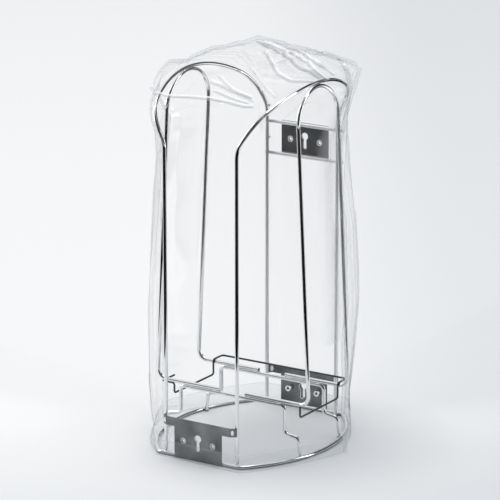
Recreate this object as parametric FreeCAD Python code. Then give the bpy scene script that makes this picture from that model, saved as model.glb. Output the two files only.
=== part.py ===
import FreeCAD, Part
import math
import os

# Wire rack for stacked safety helmets, with a clear film dust bag pulled over it.
# Millimetres. X runs along the front, Y from the front to the wall side, Z up.
# The origin is on the floor, in the middle of the base ring.

# wire and sheet stock
wire = 6.0                  # diameter of the welded rack wire
thin_wire = 3.0             # diameter of the chin strap rail
sheet = 1.2                 # thickness of the screw plates
weld = 0.3                  # how far welded pieces run into each other

# uprights and base
upright_gap_x = 126.0       # between the two uprights of one face
upright_gap_y = 286.0       # between the front and the wall side uprights
ring_half_x = 134.0         # how far the base ring bulges to each side
ring_corner_run = 9.0       # the straight runs of the ring pass the uprights by this
ring_corner_bend = 10.0

# wide hoops, one each side, from a front upright over to a wall side upright
knee_height = 482.0         # where an upright leans out
knee_bend = 40.0
hoop_lean = 30.0            # degrees that the arch leans out from the upright
wide_rise = 95.0            # height of the arch, along its lean
wide_shoulder = 62.0        # radius of its tight end arcs

# side hoops, narrow inverted U wires outside the wide hoops
side_half_y = 57.0
side_foot_out = 1.0         # a leg's line meets the height of its run this far outside the ring's line
side_rise = 52.0
side_shoulder = 47.0
side_bend = 15.0
run_end_x = 24.0            # the runs on the seat gates stop this far from the middle
apex_touch = 22.0           # degrees from straight below where its top touches the wide hoop

# seat gates, two wire frames that carry the lowest helmet
gate_top = 78.5
gate_half_x = 93.0
gate_jog_top = 35.0
gate_jog_drop = 4.0
gate_jog_out = 24.0
gate_bend = 7.0

# chin strap rail, one thin wire with a drop at each side
rail_drop = 64.0            # height of the two drops
rail_right_out = 27.0       # its right drop stands this far outside the seat gates' uprights
rail_left_out = 12.0        # and its left drop this far
rail_back_y = 79.0
rail_hook_out = 22.0        # the hook's end, outside the left drop
rail_hook_run = 33.0
rail_bend = 4.0

# screw plates
plate_half_x = 42.0
low_body_top = 49.0
low_arm_top = 62.5
low_bottom = 1.0
arm_short = 6.0             # the flat part of an arm ends this far short of the upright
arm_crank = 8.0             # length of the bend that brings an arm to its upright
rail_under_knee = 25.5      # the upper rail's centre below the knees
rail_gap = 50.0             # between the centres of the two rails
rail_overhang = 3.0
hole_gap = 52.0
hole = 4.5
countersink = 7.5
sink_depth = 0.6
low_hole_height = 29.0
key_round = 10.0
key_slot = 4.5
key_drop = 17.0
key_above_holes = 7.0       # its round hole's centre stands this far above the screw holes
cut_over = 1.0              # how far a cutting tool passes each face

# dust bag
film = 0.4                  # wall of the bag solids, thicker than the real film
seam_inset = 1.6            # inner skin's distance at the sharp side seams, in films
bag_clear = 0.5             # gap to the hoop that carries the bag
seam_flare = 24.0           # the side seams stand this far outside the ring
seam_tuck = 4.0             # and this much less at the low and high wall lines
shoulder_tuck = 12.0        # and this much less at the shoulder
bag_front_gap = 9.0         # front and back film to the plates
bag_waist_gap = 3.0         # the same at the shoulder
belly = 15.0                # how far the slanting sides swell at mid height
low_swell = 12.0            # the same at the low wall line and the shoulder
mouth_clear = 2.5           # gap between the mouth's slanting sides and the widest wires
shoulder_room = 15.0        # extra width of the film beside the arches' ends, so it lifts past them
row_ease = 3.0              # extra height of the film between its rows over an arch
low_wall = 60.0             # heights at which the walls change
mid_wall = 210.0
high_wall = 340.0
ridge_rise = 47.8           # highest point of the top seam above the film on the hoops
ridge_half_x = 173.0        # the ends of the top seam
ridge_left_drop = 32.0      # its left end, under the hoop's top
ridge_right_drop = 22.0     # its right end, under the highest point
ridge_peak_x = 8.0
seal_width = 7.0            # welded edge of the film, standing out from the seams
seal_thick = 0.8
seal_root = 0.5             # how far the welded edge runs into the two films
hem_height = 26.0
hem_thick = 0.4
flat_share = 0.5            # share of the columns on the flat front
columns = 16
cap_rows = 7

half_x = upright_gap_x / 2.0
half_y = upright_gap_y / 2.0
ring_y = half_y + wire - weld              # centre of the ring's straight runs
plate_in = ring_y + wire / 2.0 - weld      # inner face of the plates
plate_out = plate_in + sheet
lean = math.radians(hoop_lean)
tiny = 1e-6                 # lengths under this are nothing
hoop_apex_x = half_x + wide_rise * math.sin(lean)
hoop_apex_z = knee_height + wide_rise * math.cos(lean)
side_foot_x = ring_half_x + side_foot_out
rail_right_x = gate_half_x + rail_right_out
rail_left_x = gate_half_x + rail_left_out
rail_hook_x = rail_left_x + rail_hook_out
arm_half_x = half_x - arm_short
high_rail_top = knee_height - rail_under_knee
high_rail_bottom = high_rail_top - rail_gap
run_height = gate_top + wire - weld        # centre of a side hoop's runs on the gates
side_apex_x = hoop_apex_x + (wire - weld) * math.sin(math.radians(apex_touch))
side_apex_z = hoop_apex_z - (wire - weld) * math.cos(math.radians(apex_touch))
crest_x = hoop_apex_x + wire / 2.0 + bag_clear + film      # where the film lies on the hoop's top
crest_z = hoop_apex_z + wire / 2.0 + bag_clear + film
ridge_height = crest_z + ridge_rise


def vec(x, y, z):
    return FreeCAD.Vector(x, y, z)


def arc(start, middle, end):
    return Part.Arc(start, middle, end).toShape()


def bent_path(points, bends):
    """Edges of a wire path: straight runs with a tangent arc at each inner point."""
    edges = []
    last = points[0]
    for i in range(1, len(points) - 1):
        corner = points[i]
        into = (corner - points[i - 1]).normalize()
        out = (points[i + 1] - corner).normalize()
        turn = math.acos(max(-1.0, min(1.0, into.dot(out))))
        cut = bends[i - 1] * math.tan(turn / 2.0)
        start = corner - into * cut
        end = corner + out * cut
        inward = (out - into).normalize()
        depth = bends[i - 1] * (1.0 / math.cos(turn / 2.0) - 1.0)
        if (start - last).Length > tiny:
            edges.append(Part.LineSegment(last, start).toShape())
        edges.append(arc(start, corner + inward * depth, end))
        last = end
    edges.append(Part.LineSegment(last, points[-1]).toShape())
    return edges


def sweep(edges, diameter):
    """A round wire along a path of edges that lie in order."""
    path = Part.Wire(edges)
    first = edges[0]
    start = first.valueAt(first.FirstParameter)
    heading = first.tangentAt(first.FirstParameter)
    ring = Part.Wire(Part.makeCircle(diameter / 2.0, start, heading))
    return path.makePipeShell([ring], True, False)


def arch_edges(half_span, rise, shoulder, place):
    """Three-centre arch from -half_span to half_span; place turns (across, up) into a point."""
    reach = half_span - shoulder
    crown = (reach ** 2 + rise ** 2 - shoulder ** 2) / (2.0 * (rise - shoulder))
    turn = math.atan2(crown - rise, reach)
    across = reach + shoulder * math.cos(turn)
    up = shoulder * math.sin(turn)
    half = turn / 2.0
    mid_across = reach + shoulder * math.cos(half)
    mid_up = shoulder * math.sin(half)
    return [
        arc(place(-half_span, 0.0), place(-mid_across, mid_up), place(-across, up)),
        arc(place(-across, up), place(0.0, rise), place(across, up)),
        arc(place(across, up), place(mid_across, mid_up), place(half_span, 0.0)),
    ]


def arch_height(across, half_span, rise, shoulder):
    """Height of the three-centre arch at a distance across from its middle."""
    reach = half_span - shoulder
    crown = (reach ** 2 + rise ** 2 - shoulder ** 2) / (2.0 * (rise - shoulder))
    turn = math.atan2(crown - rise, reach)
    if abs(across) > reach + shoulder * math.cos(turn):
        return math.sqrt(max(0.0, shoulder ** 2 - (abs(across) - reach) ** 2))
    return rise - crown + math.sqrt(crown ** 2 - across ** 2)


def lean_cut():
    """How far the bend at the knee runs up the lean."""
    return knee_bend * math.tan(lean / 2.0)


def ring_radius():
    return (ring_y ** 2 + (ring_half_x - ring_corner_x()) ** 2) / (
        2.0 * (ring_half_x - ring_corner_x()))


def ring_corner_x():
    return half_x + ring_corner_run


def ring_x_at(y):
    """Half width of the base ring at a depth y."""
    radius = ring_radius()
    return ring_half_x - radius + math.sqrt(radius ** 2 - y ** 2)


def base_ring():
    """Closed loop: straight front and back runs, bulging circular sides, rounded corners."""
    height = wire / 2.0
    radius = ring_radius()
    swing = math.asin((ring_y - ring_corner_bend) / (radius - ring_corner_bend))
    centre_x = ring_half_x - radius
    small_x = centre_x + (radius - ring_corner_bend) * math.cos(swing)
    small_y = ring_y - ring_corner_bend
    edges = []
    for side in (1, -1):

        def at(x, y):
            return vec(side * x, side * y, height)

        meet = (centre_x + radius * math.cos(swing), radius * math.sin(swing))
        middle = (math.pi / 2.0 + swing) / 2.0
        soft = (small_x + ring_corner_bend * math.cos(middle),
                small_y + ring_corner_bend * math.sin(middle))
        edges.append(Part.LineSegment(at(-small_x, -ring_y), at(small_x, -ring_y)).toShape())
        edges.append(arc(at(small_x, -ring_y), at(soft[0], -soft[1]), at(meet[0], -meet[1])))
        edges.append(arc(at(meet[0], -meet[1]), at(ring_half_x, 0.0), at(*meet)))
        edges.append(arc(at(*meet), at(*soft), at(small_x, ring_y)))
    return sweep(edges, wire)


def wide_hoop(side):
    """Front upright, leaning arch and wall side upright in one wire."""
    cut = lean_cut()

    def place(across, up):
        rise = cut + up
        return vec(side * (half_x + rise * math.sin(lean)), across,
                   knee_height + rise * math.cos(lean))

    def upright(y):
        foot = vec(side * half_x, y, 0.0)
        knee = vec(side * half_x, y, knee_height)
        return bent_path([foot, knee, place(y, 0.0)], [knee_bend])

    front = upright(-half_y)[:2]
    back = upright(half_y)[:2]
    arch = arch_edges(half_y, wide_rise - cut, wide_shoulder, place)
    return sweep(front + arch + back[::-1], wire)


def side_plane_x(z):
    """The side hoop leans in to meet the top of the wide hoop."""
    share = (z - run_height) / (side_apex_z - run_height)
    return side_foot_x + (side_apex_x - side_foot_x) * share


def side_hoop(side):
    """Inverted U with its ends bent in to lie on the seat gates."""
    shoulder_z = side_apex_z - side_rise

    def place(across, up):
        z = shoulder_z + up
        return vec(side * side_plane_x(z), across, z)

    def leg(y):
        corner = vec(side * side_foot_x, y, run_height)
        end = vec(side * run_end_x, y, run_height)
        return bent_path([end, corner, place(y, 0.0)], [side_bend])

    arch = arch_edges(side_half_y, side_rise, side_shoulder, place)
    return sweep(leg(-side_half_y) + arch + leg(side_half_y)[::-1], wire)


def seat_gate(y):
    """Top bar, two drops, an outward jog at each side and a foot on the ring."""
    foot_x = ring_x_at(side_half_y) - wire + weld
    jog_low = gate_jog_top - gate_jog_drop
    right = [
        vec(foot_x, y, 0.0),
        vec(foot_x, y, wire),
        vec(gate_half_x + gate_jog_out, y, jog_low),
        vec(gate_half_x, y, gate_jog_top),
        vec(gate_half_x, y, gate_top),
    ]
    left = [vec(-p.x, p.y, p.z) for p in right]
    points = right + left[::-1]
    return sweep(bent_path(points, [gate_bend] * (len(points) - 2)), wire)


def strap_rail():
    """One thin wire: a drop at the right, across the back, a drop at the left and a hook."""
    under_run = run_height - (wire + thin_wire) / 2.0 + weld
    over_run = run_height + (wire + thin_wire) / 2.0 - weld
    inner_y = side_half_y - (wire + thin_wire) / 2.0 + weld
    points = [
        vec(rail_right_x, -side_half_y, under_run + thin_wire / 2.0),
        vec(rail_right_x, -side_half_y, rail_drop),
        vec(rail_right_x, inner_y, rail_drop),
        vec(rail_right_x, inner_y, over_run),
        vec(rail_right_x, rail_back_y, over_run),
        vec(-rail_left_x, rail_back_y, over_run),
        vec(-rail_left_x, inner_y, over_run),
        vec(-rail_left_x, inner_y, rail_drop),
        vec(-rail_left_x, -side_half_y, rail_drop),
        vec(-rail_left_x, -side_half_y, under_run),
        vec(-rail_hook_x, -side_half_y, under_run),
        vec(-rail_hook_x, rail_hook_run - side_half_y, under_run),
    ]
    return sweep(bent_path(points, [rail_bend] * (len(points) - 2)), thin_wire)


def cut_screw_holes(plate, centre_z, face_y):
    """Two countersunk holes and a keyhole; the countersinks open towards the front."""
    start = face_y - cut_over
    deep = sheet + 2.0 * cut_over
    for x in (-hole_gap / 2.0, hole_gap / 2.0):
        bore = Part.makeCylinder(hole / 2.0, deep, vec(x, start, centre_z), vec(0, 1, 0))
        sink = Part.makeCone(countersink / 2.0, hole / 2.0, sink_depth,
                             vec(x, face_y, centre_z), vec(0, 1, 0))
        plate = plate.cut(bore).cut(sink)
    top = centre_z + key_above_holes
    key = Part.makeCylinder(key_round / 2.0, deep, vec(0, start, top), vec(0, 1, 0))
    slot = Part.makeBox(key_slot, deep, key_drop, vec(-key_slot / 2.0, start, top - key_drop))
    end = Part.makeCylinder(key_slot / 2.0, deep, vec(0, start, top - key_drop), vec(0, 1, 0))
    return plate.cut(key.fuse(slot).fuse(end))


def low_plate(side):
    """T-shaped plate on the ring, its arms cranked back to the two uprights."""
    face_y = -plate_out if side < 0 else plate_in
    body = Part.makeBox(2 * plate_half_x, sheet, low_arm_top - low_bottom,
                        vec(-plate_half_x, face_y, low_bottom))
    arm_height = low_arm_top - low_body_top
    arms = Part.makeBox(2 * arm_half_x, sheet, arm_height, vec(-arm_half_x, face_y, low_body_top))
    plate = body.fuse(arms)
    touch = half_y + wire / 2.0 - weld
    for hand in (-1, 1):
        outer = [
            (arm_half_x, plate_in), (arm_half_x, plate_out),
            (arm_half_x + arm_crank, touch + sheet), (arm_half_x + arm_crank, touch),
        ]
        corners = [vec(hand * x, side * y, low_body_top) for x, y in outer]
        face = Part.Face(Part.makePolygon(corners + corners[:1]))
        plate = plate.fuse(face.extrude(vec(0, 0, arm_height)))
    return cut_screw_holes(plate.removeSplitter(), low_hole_height, face_y)


def high_plate():
    """Flat plate across the two wall side rails."""
    height = high_rail_top - high_rail_bottom + wire
    bottom = high_rail_bottom - wire / 2.0
    plate = Part.makeBox(2 * plate_half_x, sheet, height, vec(-plate_half_x, plate_in, bottom))
    return cut_screw_holes(plate, (high_rail_top + high_rail_bottom) / 2.0, plate_in)


def high_rail(z):
    """Straight wire welded across the outer side of the two wall side uprights."""
    reach = half_x + wire / 2.0 + rail_overhang
    return Part.makeCylinder(wire / 2.0, 2 * reach, vec(-reach, ring_y, z), vec(1, 0, 0))


def mouth_swell(seam, front, flat):
    """Swell of the mouth's slanting sides that clears the base ring, and the side hoops on the way up."""
    length = math.hypot(seam - flat, front)
    depths = [front * i / columns for i in range(1, columns)]
    inner = [(ring_x_at(y), y) for y in depths if y < ring_y - ring_corner_bend]
    need = 0.0
    for x, y in inner + [(side_foot_x, side_half_y)]:
        past = ((x - flat) * front - (front - y) * (seam - flat)) / length
        share = math.sin(math.pi * (1.0 - y / front))
        need = max(need, (past + wire / 2.0 + film + mouth_clear) / share)
    return need


def wall_sections():
    """Height, seam distance, front distance, flat half width and swell of the bag's walls."""
    seam = ring_half_x + wire / 2.0 + seam_flare
    front = plate_out + bag_front_gap
    flat = half_x + ring_corner_run + wire
    floor_swell = mouth_swell(seam, front, flat)
    hem_share = hem_height / low_wall
    return [
        (0.0, seam, front, flat, floor_swell),
        (hem_height, seam - seam_tuck * hem_share, front, flat,
         floor_swell + (low_swell - floor_swell) * hem_share),
        (low_wall, seam - seam_tuck, front, flat, low_swell),
        (mid_wall, seam, front, flat, belly),
        (high_wall, seam - seam_tuck, front, flat, belly),
        (high_rail_top + wire, seam - shoulder_tuck, plate_out + bag_waist_gap, flat, low_swell),
    ]


def section_point(section, s, inset):
    """Point of one wall section: flat front, then a slanting side that swells to its seam."""
    z, seam, front, flat, swell = section
    seam -= inset * seam_inset
    front -= inset
    hand = 1.0 if s >= 0 else -1.0
    q = abs(s)
    if q <= flat_share:
        return hand * flat * q / flat_share, -front, z
    t = (q - flat_share) / (1.0 - flat_share)
    run_x = seam - flat
    length = math.hypot(run_x, front)
    bulge = swell * math.sin(math.pi * t)
    x = flat + run_x * t + bulge * front / length
    y = front * (1.0 - t) + bulge * run_x / length * (1.0 - t)
    return hand * x, -y, z


def ridge_height_at(x):
    """The top seam: low at the left, on the hoop, highest near the middle, lower at the right."""
    if x < -crest_x:
        return crest_z - ridge_left_drop * (-crest_x - x) / (ridge_half_x - crest_x)
    if x < ridge_peak_x:
        t = (x + crest_x) / (ridge_peak_x + crest_x)
        return crest_z + (ridge_height - crest_z) * math.sin(math.pi * t / 2.0)
    t = (x - ridge_peak_x) / (ridge_half_x - ridge_peak_x)
    return ridge_height - ridge_right_drop * t * t


def cap_point(k, s, inset):
    """Point of one cap row: the film lies over both arches and hangs out to its side seams."""
    turn = math.pi / 2.0 * k / cap_rows
    up = math.sin(turn)
    out = math.cos(turn) if k < cap_rows else 0.0
    gap = wire / 2.0 + bag_clear + film - inset
    ease = row_ease * math.sqrt(out)
    rise = lean_cut() + arch_height(half_y * out, half_y, wide_rise - lean_cut(), wide_shoulder)
    arch_x = half_x + rise * math.sin(lean) + gap + ease / 2.0 + shoulder_room * out
    arch_z = knee_height + rise * math.cos(lean) + gap + ease
    front = half_y * out + gap + ease / 2.0 if out > 0.0 else 0.0
    hand = 1.0 if s >= 0 else -1.0
    inner = min(1.0, abs(s) / flat_share)                        # grows up to the arch
    outer = max(0.0, (abs(s) - flat_share) / (1.0 - flat_share)) # then out to the seam
    end_z = ridge_height_at(hand * ridge_half_x)
    seam_low = wall_sections()[-1][1]
    seam_x = seam_low + (ridge_half_x - seam_low) * up - inset * seam_inset
    seam_z = knee_height + (end_z - inset - knee_height) * up
    swell = low_swell * out * math.sin(math.pi * outer)
    x = hand * (arch_x * inner + (seam_x - arch_x) * outer + swell)
    z = arch_z + (seam_z - arch_z) * outer
    top_x = hand * (crest_x * inner + (ridge_half_x - crest_x) * outer)
    lift = ridge_height_at(top_x) - crest_z - (end_z - crest_z) * outer
    return x, -front * (1.0 - outer), z + lift * up ** 3


def sheet_column(s, inset):
    """Points of one column of the front sheet, from the floor to the top seam."""
    walls = [section_point(section, s, inset) for section in wall_sections()]
    return walls + [cap_point(k, s, inset) for k in range(cap_rows + 1)]


def skin(grid_a, grid_b):
    """Closed solid between two grids of points, as flat triangles."""
    faces = []

    def triangle(a, b, c):
        p, q, r = vec(*a), vec(*b), vec(*c)
        if (q - p).cross(r - p).Length > tiny:
            faces.append(Part.Face(Part.makePolygon([p, q, r, p])))

    def quad(a, b, c, d):
        triangle(a, b, c)
        triangle(a, c, d)

    count = len(grid_a)
    rows = len(grid_a[0])
    for i in range(count - 1):
        for k in range(rows - 1):
            quad(grid_a[i][k], grid_a[i + 1][k], grid_a[i + 1][k + 1], grid_a[i][k + 1])
            quad(grid_b[i][k], grid_b[i][k + 1], grid_b[i + 1][k + 1], grid_b[i + 1][k])
        quad(grid_a[i][0], grid_b[i][0], grid_b[i + 1][0], grid_a[i + 1][0])
        quad(grid_a[i][-1], grid_a[i + 1][-1], grid_b[i + 1][-1], grid_b[i][-1])
    for k in range(rows - 1):
        quad(grid_a[0][k], grid_a[0][k + 1], grid_b[0][k + 1], grid_b[0][k])
        quad(grid_a[-1][k], grid_b[-1][k], grid_b[-1][k + 1], grid_a[-1][k + 1])
    shell = Part.makeShell(faces)
    shell.sewShape()
    solid = Part.makeSolid(Part.Shell(shell.Faces))
    if solid.Volume < 0:
        solid.reverse()
    return solid


def bag_sheet(side):
    """One film half: the front one, or its mirror at the wall side."""
    outer = [sheet_column(s, 0.0) for s in steps()]
    inner = [sheet_column(s, film) for s in steps()]
    return skin(mirrored(outer, side), mirrored(inner, side))


def bag_hem(side):
    """Folded band round the bottom of one film half, lying on its outside."""
    rows = wall_sections()[:2]
    outer = [[section_point(row, s, -hem_thick) for row in rows] for s in steps()]
    inner = [[section_point(row, s, 0.0) for row in rows] for s in steps()]
    return skin(mirrored(outer, side), mirrored(inner, side))


def side_seal(hand):
    """Flat welded edge that stands out along one side seam, from the floor to the top seam."""
    column = sheet_column(float(hand), 0.0)
    return fin([(x, z, hand, 0.0) for x, y, z in column])


def top_seal():
    """The same along the top seam."""
    line = [cap_point(cap_rows, s, 0.0) for s in steps()]
    return fin([(x, z, 0.0, 1.0) for x, y, z in line])


def fin(line):
    """Flat strip through points (x, z), standing out along each point's own direction."""
    half = seal_thick / 2.0
    grid = [[(x - dx * seal_root, z - dz * seal_root), (x + dx * seal_width, z + dz * seal_width)]
            for x, z, dx, dz in line]
    near = [[(x, -half, z) for x, z in pair] for pair in grid]
    far = [[(x, half, z) for x, z in pair] for pair in grid]
    return skin(near, far)


def steps():
    return [-1.0 + 2.0 * i / columns for i in range(columns + 1)]


def mirrored(grid, side):
    """The front grid, or its mirror at the wall side."""
    if side < 0:
        return grid
    return [[(x, -y, z) for x, y, z in column] for column in grid]


os.makedirs("parts", exist_ok=True)

nodes = {
    "base_ring": base_ring(),
    "wide_hoop_left": wide_hoop(-1),
    "wide_hoop_right": wide_hoop(1),
    "side_hoop_left": side_hoop(-1),
    "side_hoop_right": side_hoop(1),
    "seat_gate_front": seat_gate(-side_half_y),
    "seat_gate_rear": seat_gate(side_half_y),
    "strap_rail": strap_rail(),
    "front_low_plate": low_plate(-1),
    "rear_low_plate": low_plate(1),
    "rear_high_plate": high_plate(),
    "high_rail_top": high_rail(high_rail_top),
    "high_rail_bottom": high_rail(high_rail_bottom),
    "bag_front_sheet": bag_sheet(-1),
    "bag_rear_sheet": bag_sheet(1),
    "bag_front_hem": bag_hem(-1),
    "bag_rear_hem": bag_hem(1),
    "bag_side_seal_left": side_seal(-1),
    "bag_side_seal_right": side_seal(1),
    "bag_top_seal": top_seal(),
}

for name, shape in nodes.items():
    print(name, "valid", shape.isValid(), "solids", len(shape.Solids),
          "volume", round(shape.Volume, 1), shape.BoundBox)
    shape.exportStep("parts/" + name + ".step")
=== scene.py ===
import bpy
import bmesh
import numpy as np
from math import radians, pi
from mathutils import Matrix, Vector


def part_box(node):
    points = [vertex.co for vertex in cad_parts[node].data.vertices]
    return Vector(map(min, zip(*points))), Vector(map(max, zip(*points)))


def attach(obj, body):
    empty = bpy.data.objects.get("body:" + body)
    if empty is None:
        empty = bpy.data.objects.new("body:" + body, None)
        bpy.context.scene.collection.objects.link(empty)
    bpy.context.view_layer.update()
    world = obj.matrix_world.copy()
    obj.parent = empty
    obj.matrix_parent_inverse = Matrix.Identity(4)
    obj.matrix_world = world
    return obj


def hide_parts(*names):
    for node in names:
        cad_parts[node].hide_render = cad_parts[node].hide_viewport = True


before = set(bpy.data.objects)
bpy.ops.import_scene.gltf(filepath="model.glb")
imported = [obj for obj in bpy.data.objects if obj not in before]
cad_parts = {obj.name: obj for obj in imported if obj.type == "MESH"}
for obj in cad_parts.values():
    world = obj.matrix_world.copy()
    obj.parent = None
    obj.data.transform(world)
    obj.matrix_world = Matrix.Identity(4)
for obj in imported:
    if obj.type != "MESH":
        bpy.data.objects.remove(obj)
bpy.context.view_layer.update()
scene = bpy.context.scene
scene.view_settings.view_transform = "Standard"
mm = 0.001


def toLinear(hexColour):
    # sRGB hex to linear RGBA: the standard curve, a straight foot and then a power of 2.4
    parts = [int(hexColour[i:i + 2], 16) / 255 for i in (1, 3, 5)]
    return tuple(c / 12.92 if c <= 0.04045 else ((c + 0.055) / 1.055) ** 2.4 for c in parts) + (1.0,)


def addNode(tree, kind, settings=None, inputs=None):
    # one node, its properties, then its inputs: a socket is linked, anything else is a value
    node = tree.nodes.new(kind)
    for key, value in (settings or {}).items():
        setattr(node, key, value)
    for key, value in (inputs or {}).items():
        if isinstance(value, bpy.types.NodeSocket):
            tree.links.new(value, node.inputs[key])
        else:
            node.inputs[key].default_value = value
    return node


def newMaterial(name):
    material = bpy.data.materials.new(name)
    material.use_nodes = True
    material.node_tree.nodes.clear()
    return material, material.node_tree


def finishMaterial(tree, shader):
    addNode(tree, "ShaderNodeOutputMaterial", inputs={"Surface": shader})


def paintNode(node, material):
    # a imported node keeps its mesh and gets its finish
    node.data.materials.clear()
    node.data.materials.append(material)


def gridMesh(name, points, material, closed=False):
    # points is an array (rows, columns, 3); quads join each point to the next row and column
    rows, columns = points.shape[:2]
    index = np.arange(rows * columns).reshape(rows, columns)
    right = np.roll(index, -1, axis=1) if closed else index[:, 1:]
    left = index if closed else index[:, :-1]
    faces = np.stack([left[:-1], right[:-1], right[1:], left[1:]], axis=-1).reshape(-1, 4)
    mesh = bpy.data.meshes.new(name)
    mesh.vertices.add(rows * columns)
    mesh.vertices.foreach_set("co", points.astype(np.float32).ravel())
    mesh.loops.add(faces.size)
    mesh.loops.foreach_set("vertex_index", faces.astype(np.int32).ravel())
    mesh.polygons.add(len(faces))
    mesh.polygons.foreach_set("loop_start", np.arange(0, faces.size, 4, dtype=np.int32))
    mesh.update(calc_edges=True)
    mesh.polygons.foreach_set("use_smooth", np.ones(len(faces), dtype=bool))
    mesh.materials.append(material)
    piece = bpy.data.objects.new(name, mesh)
    scene.collection.objects.link(piece)
    return piece


view = {"place": (2.4400, -3.8745, 1.5625), "target": (0, 0, 0.3), "lens": 226.7, "sensor": 36,
        "shift": (-0.00475, -0.009), "reach": 60}


def makeCamera():
    camera = bpy.data.objects.new("camera", bpy.data.cameras.new("camera"))
    scene.collection.objects.link(camera)
    camera.location = view["place"]
    camera.rotation_euler = (Vector(view["target"]) - camera.location).to_track_quat("-Z", "Y").to_euler()
    camera.data.lens = view["lens"]
    camera.data.sensor_width = view["sensor"]
    camera.data.shift_x, camera.data.shift_y = view["shift"]
    camera.data.clip_end = view["reach"]
    scene.camera = camera


studio = {
    "world": "#f7f8f9", "worldStrength": 0.90,
    "darkSky": [  # dark parts of the sky in metal and film: middle, cosine at rim and inside, what is left
        ((0.50, -0.80, 0.10), 0.05, 0.55, 0.04),
        ((0.53, 0.82, 0.21), 0.62, 0.80, 0.03),
    ],
    # floor colour, colour of its painted shade, colour of its painted shadow round the base, size in metres
    "floor": "#f4f5f6", "floorPaintedShade": "#dddfe2", "floorPaintedShadow": "#c2c5c9", "floorSize": 40.0,
    "floorPaintedShadeFades": [  # painted shade, the floor gets greyer this way: direction, from, to in metres, share
        ((0.846, 0.533, 0.0), -0.1, 0.45, 0.75),
        ((0.533, -0.846, 0.0), 0.0, 0.45, 0.60),
    ],
    "floorPaintedShadowSpot": ((0.09, -0.01, 0.0), 0.06, 0.29, 0.70),  # soft painted shadow: middle, from, to a radius, share
    "lamps": [  # name, place, aim, width, height, watts
        ("keyLamp", (-4.6, -4.0, 5.4), (0, 0, 0.3), 2.6, 3.4, 60),
        ("topLamp", (1.0, 1.0, 6.0), (0, 0, 0.3), 3.0, 3.0, 60),
    ],
    "cards": [  # white cards that only glossy surfaces see: centre, aim, width, height, strength
        ((-2.6, -0.9, 1.7), (0, 0, 0.4), 0.5, 2.6, 7.0),
        ((2.7, 1.5, 1.2), (0, 0, 0.3), 0.5, 2.4, 6.0),
        ((0.2, 0.5, 3.2), (0, 0, 0.4), 1.2, 0.8, 6.0),
    ],
    "flags": [  # cloth low over the floor that only glossy surfaces see: bearings, radii, glow
        (-148, 30, 0.60, 5.0, 0.0), (164, 184, 0.17, 5.0, 0.0), (58, 92, 0.17, 5.0, 0.0),
        (32, 56, 0.30, 4.0, 1.4), (186, 210, 0.30, 4.0, 1.4),
    ],
    "flagHeight": 0.012, "flagSteps": 25,
}


def makeWorld():
    # even pale light; what shows in metal and film is brighter overhead and darker low down in front
    world = bpy.data.worlds.new("studio")
    scene.world = world
    world.use_nodes = True
    tree = world.node_tree
    tree.nodes.clear()
    path = addNode(tree, "ShaderNodeLightPath")
    coords = addNode(tree, "ShaderNodeTexCoord")
    parts = []
    for middle, rim, inside, left in studio["darkSky"]:
        near = addNode(tree, "ShaderNodeVectorMath", {"operation": "DOT_PRODUCT"},
                       {0: coords.outputs["Generated"], 1: middle})
        part = addNode(tree, "ShaderNodeMapRange", {"interpolation_type": "SMOOTHSTEP"},
                       {"Value": near.outputs["Value"], "From Min": rim, "From Max": inside,
                        "To Min": 1.0, "To Max": left})
        parts.append(part.outputs["Result"])
    both = addNode(tree, "ShaderNodeMath", {"operation": "MINIMUM"}, {0: parts[0], 1: parts[1]})
    pale = toLinear(studio["world"])
    even = addNode(tree, "ShaderNodeBackground", None,
                   {"Color": pale, "Strength": studio["worldStrength"]})
    seen = addNode(tree, "ShaderNodeBackground", None, {"Color": pale, "Strength": both.outputs[0]})
    mix = addNode(tree, "ShaderNodeMixShader", None,
                  {0: path.outputs["Is Glossy Ray"], 1: even.outputs[0], 2: seen.outputs[0]})
    addNode(tree, "ShaderNodeOutputWorld", None, {"Surface": mix.outputs[0]})


def makeFloor():
    # matt pale studio floor, with painted shade a little greyer to the right and in front, and a soft painted
    # shadow round the base
    material, tree = newMaterial("paintedStudioFloor")
    place = addNode(tree, "ShaderNodeTexCoord").outputs["Object"]
    fades = []
    for direction, start, end, share in studio["floorPaintedShadeFades"]:
        along = addNode(tree, "ShaderNodeVectorMath", {"operation": "DOT_PRODUCT"}, {0: place, 1: direction})
        step = addNode(tree, "ShaderNodeMapRange", {"interpolation_type": "SMOOTHSTEP"},
                       {"Value": along.outputs["Value"], "From Min": start, "From Max": end,
                        "To Max": share})
        fades.append(step.outputs["Result"])
    grey = addNode(tree, "ShaderNodeMath", {"operation": "ADD", "use_clamp": True},
                   {0: fades[0], 1: fades[1]})
    tone = addNode(tree, "ShaderNodeMix", {"data_type": "RGBA"},
                   {0: grey.outputs[0], 6: toLinear(studio["floor"]), 7: toLinear(studio["floorPaintedShade"])})
    # painted shadow, soft, round the base
    middle, start, end, share = studio["floorPaintedShadowSpot"]
    apart = addNode(tree, "ShaderNodeVectorMath", {"operation": "DISTANCE"}, {0: place, 1: middle})
    under = addNode(tree, "ShaderNodeMapRange", {"interpolation_type": "SMOOTHSTEP"},
                    {"Value": apart.outputs["Value"], "From Min": start, "From Max": end,
                     "To Min": share, "To Max": 0.0})
    shaded = addNode(tree, "ShaderNodeMix", {"data_type": "RGBA"},
                     {0: under.outputs["Result"], 6: tone.outputs[2],
                      7: toLinear(studio["floorPaintedShadow"])})
    surface = addNode(tree, "ShaderNodeBsdfPrincipled", None,
                      {"Base Color": shaded.outputs[2], "Roughness": 0.7, "Specular IOR Level": 0.15})
    finishMaterial(tree, surface.outputs[0])
    half = studio["floorSize"] / 2
    corners = np.array([[[-half, -half, 0], [half, -half, 0]], [[-half, half, 0], [half, half, 0]]])
    floor = gridMesh("studio_floor", corners, material)


def glossyOnly(piece):
    # a card or flag that only mirrors see
    piece.visible_camera = piece.visible_diffuse = False
    piece.visible_shadow = piece.visible_transmission = False


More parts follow.
